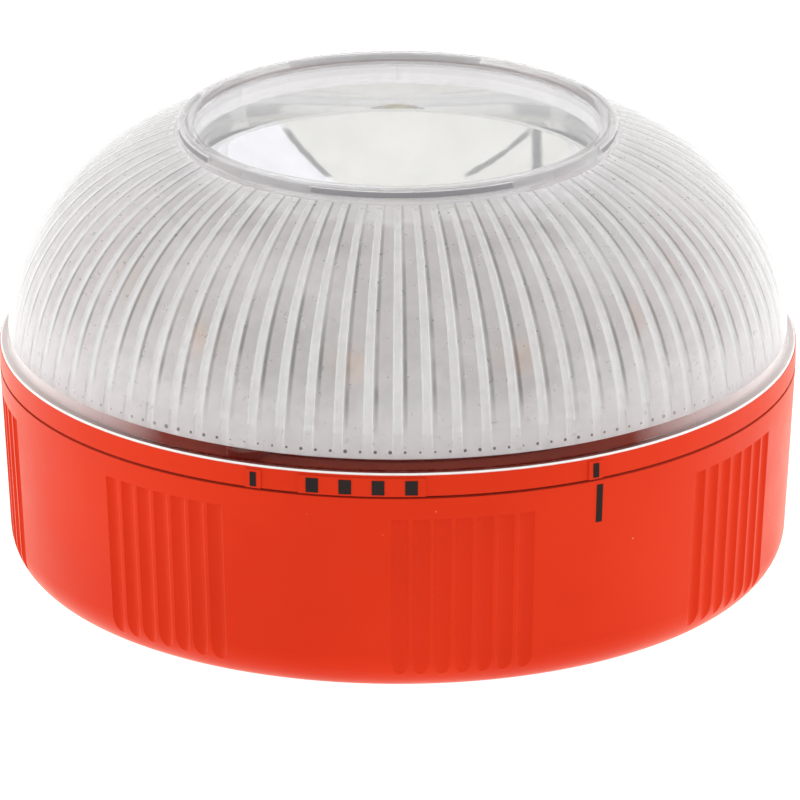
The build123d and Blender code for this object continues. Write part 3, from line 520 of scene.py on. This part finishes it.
def build_spring():
    """Coil of round wire between the button's plate and the roof of its well."""
    low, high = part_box("button_spring")
    wire = spring_wire
    coil_radius = (high.x - low.x) / 2 - wire
    rise = high.z - low.z - 2 * wire
    corners = []
    faces = []
    for step in range(spring_steps + 1):
        share = step / spring_steps
        turn = 2 * math.pi * spring_turns * share
        for side in range(spring_sides):
            angle = 2 * math.pi * side / spring_sides
            reach = coil_radius + wire * math.cos(angle)
            height = low.z + wire + rise * share + wire * math.sin(angle)
            corners.append((reach * math.cos(turn), reach * math.sin(turn), height))
            if step:
                before = (step - 1) * spring_sides
                after = (side + 1) % spring_sides
                faces.append((before + side, before + spring_sides + side,
                              before + spring_sides + after, before + after))
    faces.append(tuple(range(spring_sides)))
    faces.append(tuple(spring_steps * spring_sides + side for side in reversed(range(spring_sides))))
    mesh = bpy.data.meshes.new("coil_spring")
    mesh.from_pydata(corners, [], faces)
    mesh.materials.append(finishes["steel"])
    mesh.validate()
    mesh.shade_smooth()
    spring = bpy.data.objects.new("coil_spring", mesh)
    bpy.context.scene.collection.objects.link(spring)
    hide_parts("button_spring")
    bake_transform(spring)


build_spring()

# ------------------------------------------------------------------ floor, light and camera


def build_floor():
    """Pale floor with a gentle glow of its own, like a light table."""
    mesh = bpy.data.meshes.new("floor")
    reach = 4.0
    corners = [(-reach, -reach, 0), (reach, -reach, 0), (reach, reach, 0), (-reach, reach, 0)]
    mesh.from_pydata(corners, [], [(0, 1, 2, 3)])
    floor = bpy.data.objects.new("floor", mesh)
    bpy.context.scene.collection.objects.link(floor)
    material, tree, output = new_material("floor_white")
    shader = principled(tree, output, Roughness=0.6, Emission_Strength=1.02)
    shader.inputs["Emission Color"].default_value = (1, 1, 1, 1)
    tone = two_tone(tree, noise(tree, 3), (0.30, 0.30, 0.30), (0.31, 0.31, 0.31))
    tree.links.new(tone, shader.inputs["Base Color"])
    mesh.materials.append(material)


def dotted(tree, direction, vector):
    """Dot product of a direction with a fixed vector."""
    node = tree.nodes.new("ShaderNodeVectorMath")
    node.operation = "DOT_PRODUCT"
    tree.links.new(direction, node.inputs[0])
    node.inputs[1].default_value = vector
    return node.outputs["Value"]


def tent_seam(tree, direction, first, second, half_width):
    """Dark joint in the light tent, running from one direction to another: 1 on it, 0 elsewhere."""
    start, end = Vector(first).normalized(), Vector(second).normalized()
    middle = (start + end).normalized()
    away = value_math(tree, "ABSOLUTE", dotted(tree, direction, start.cross(end).normalized()))
    on_line = spread(tree, away, 1.0, 0.0, half_width * 0.6, half_width * 1.4)
    edge = middle.dot(start)
    within = spread(tree, dotted(tree, direction, middle), 0.0, 1.0, edge - 0.002, edge + 0.002)
    return value_math(tree, "MULTIPLY", on_line, within)


# directions of the tent's seams, and half of each one's width, as a share of the distance
seam_left = ((0.475, 0.254, 0.843), (0.295, 0.426, 0.855))
seam_right = ((-0.526, 0.344, 0.778), (-0.293, 0.414, 0.862))
seam_side = ((-0.545, 0.33, 0.77), (-0.461, 0.656, 0.598))
seam_widths = (0.020, 0.022, 0.016)
panel_near = (0.20, 0.23)
panel_far = (0.78, 0.84)
panel_depth = (-0.28, -0.25)
panel_top = (0.50, 0.53)
panel_grey = 0.50
seam_black = 0.02
tent_level = 1.26
overhead_left = (0.84, 0.84, 0.89)
overhead_right = (0.67, 0.665, 0.615)


def build_world():
    """White light tent with sewn seams overhead and a grey panel either side of the camera."""
    world = bpy.data.worlds.new("studio")
    bpy.context.scene.world = world
    world.use_nodes = True
    tree = world.node_tree
    tree.nodes.clear()
    output = tree.nodes.new("ShaderNodeOutputWorld")
    background = tree.nodes.new("ShaderNodeBackground")
    place = tree.nodes.new("ShaderNodeTexCoord")
    direction = place.outputs["Generated"]
    split = tree.nodes.new("ShaderNodeSeparateXYZ")
    tree.links.new(direction, split.inputs["Vector"])
    seams = [
        tent_seam(tree, direction, *ends, width)
        for ends, width in zip((seam_left, seam_right, seam_side), seam_widths)
    ]
    dark = value_math(tree, "MAXIMUM", value_math(tree, "MAXIMUM", seams[0], seams[1]), seams[2])
    aside = value_math(tree, "ABSOLUTE", split.outputs["X"])
    beside = spread(tree, aside, 0.0, 1.0, *panel_near)
    beside = value_math(tree, "MULTIPLY", beside, spread(tree, aside, 1.0, 0.0, *panel_far))
    ahead = spread(tree, split.outputs["Y"], 1.0, 0.0, *panel_depth)
    low = spread(tree, split.outputs["Z"], 1.0, 0.0, *panel_top)
    panel = value_math(tree, "MULTIPLY", value_math(tree, "MULTIPLY", beside, ahead), low)
    front = spread(tree, split.outputs["Y"], 0.94, 1.0, -0.8, 0.0)
    level = value_math(tree, "MULTIPLY", front, spread(tree, panel, 1.0, panel_grey, 0.0, 1.0))
    level = value_math(tree, "MULTIPLY", level, spread(tree, dark, 1.0, seam_black, 0.0, 1.0))
    level = value_math(tree, "MULTIPLY", level, tent_level)
    tree.links.new(level, background.inputs["Strength"])
    left_of = dotted(tree, direction, Vector(seam_left[0]).cross(Vector(seam_left[1])).normalized())
    across = spread(tree, left_of, 0.0, 1.0, -0.01, 0.01)
    overhead = mixed(tree, across, overhead_left, overhead_right)
    above = spread(tree, split.outputs["Z"], 0.0, 1.0, 0.5, 0.55)
    sky = mixed(tree, above, (1.0, 1.0, 1.0), overhead)
    tree.links.new(sky, background.inputs["Color"])
    tree.links.new(background.outputs["Background"], output.inputs["Surface"])


def build_side_lamps():
    """Broad soft lamps low at both sides, which pale the flanks without showing in the gloss."""
    for name, side, energy in (("side_right", 0.9, 2.2), ("side_left", -0.9, 2.4)):
        lamp = bpy.data.lights.new(name, "AREA")
        lamp.size = 0.5
        lamp.energy = energy
        holder = bpy.data.objects.new(name, lamp)
        bpy.context.scene.collection.objects.link(holder)
        holder.visible_glossy = False
        holder.visible_transmission = False
        holder.location = (side, 0.25, 0.22)
        towards = Vector((0, 0, 0.03)) - holder.location
        holder.rotation_euler = towards.to_track_quat("-Z", "Y").to_euler()


camera_elevation = 20.42     # degrees above the horizon
camera_distance = 1.069      # metres
camera_aim = (0.00026, 0, 0.01965)
camera_lens = 401.8          # mm, on a sensor 36 mm wide
camera_roll = 0.014          # degrees


def build_camera():
    """Long lens from the front, twenty degrees above the horizon."""
    elevation = math.radians(camera_elevation)
    aim = Vector(camera_aim)
    back = Vector((0, -math.cos(elevation), math.sin(elevation)))
    lens = bpy.data.cameras.new("camera")
    lens.sensor_width = 36
    lens.lens = camera_lens
    camera = bpy.data.objects.new("camera", lens)
    bpy.context.scene.collection.objects.link(camera)
    camera.location = aim + back * camera_distance
    level = (-back).to_track_quat("-Z", "Y").to_matrix().to_4x4()
    roll = Matrix.Rotation(math.radians(camera_roll), 4, "Z")
    camera.rotation_euler = (level @ roll).to_euler()
    lens.clip_start = 0.05
    lens.clip_end = 20
    bpy.context.scene.camera = camera


build_floor()
build_world()
build_side_lamps()
build_camera()
bpy.context.scene.view_settings.view_transform = "Standard"
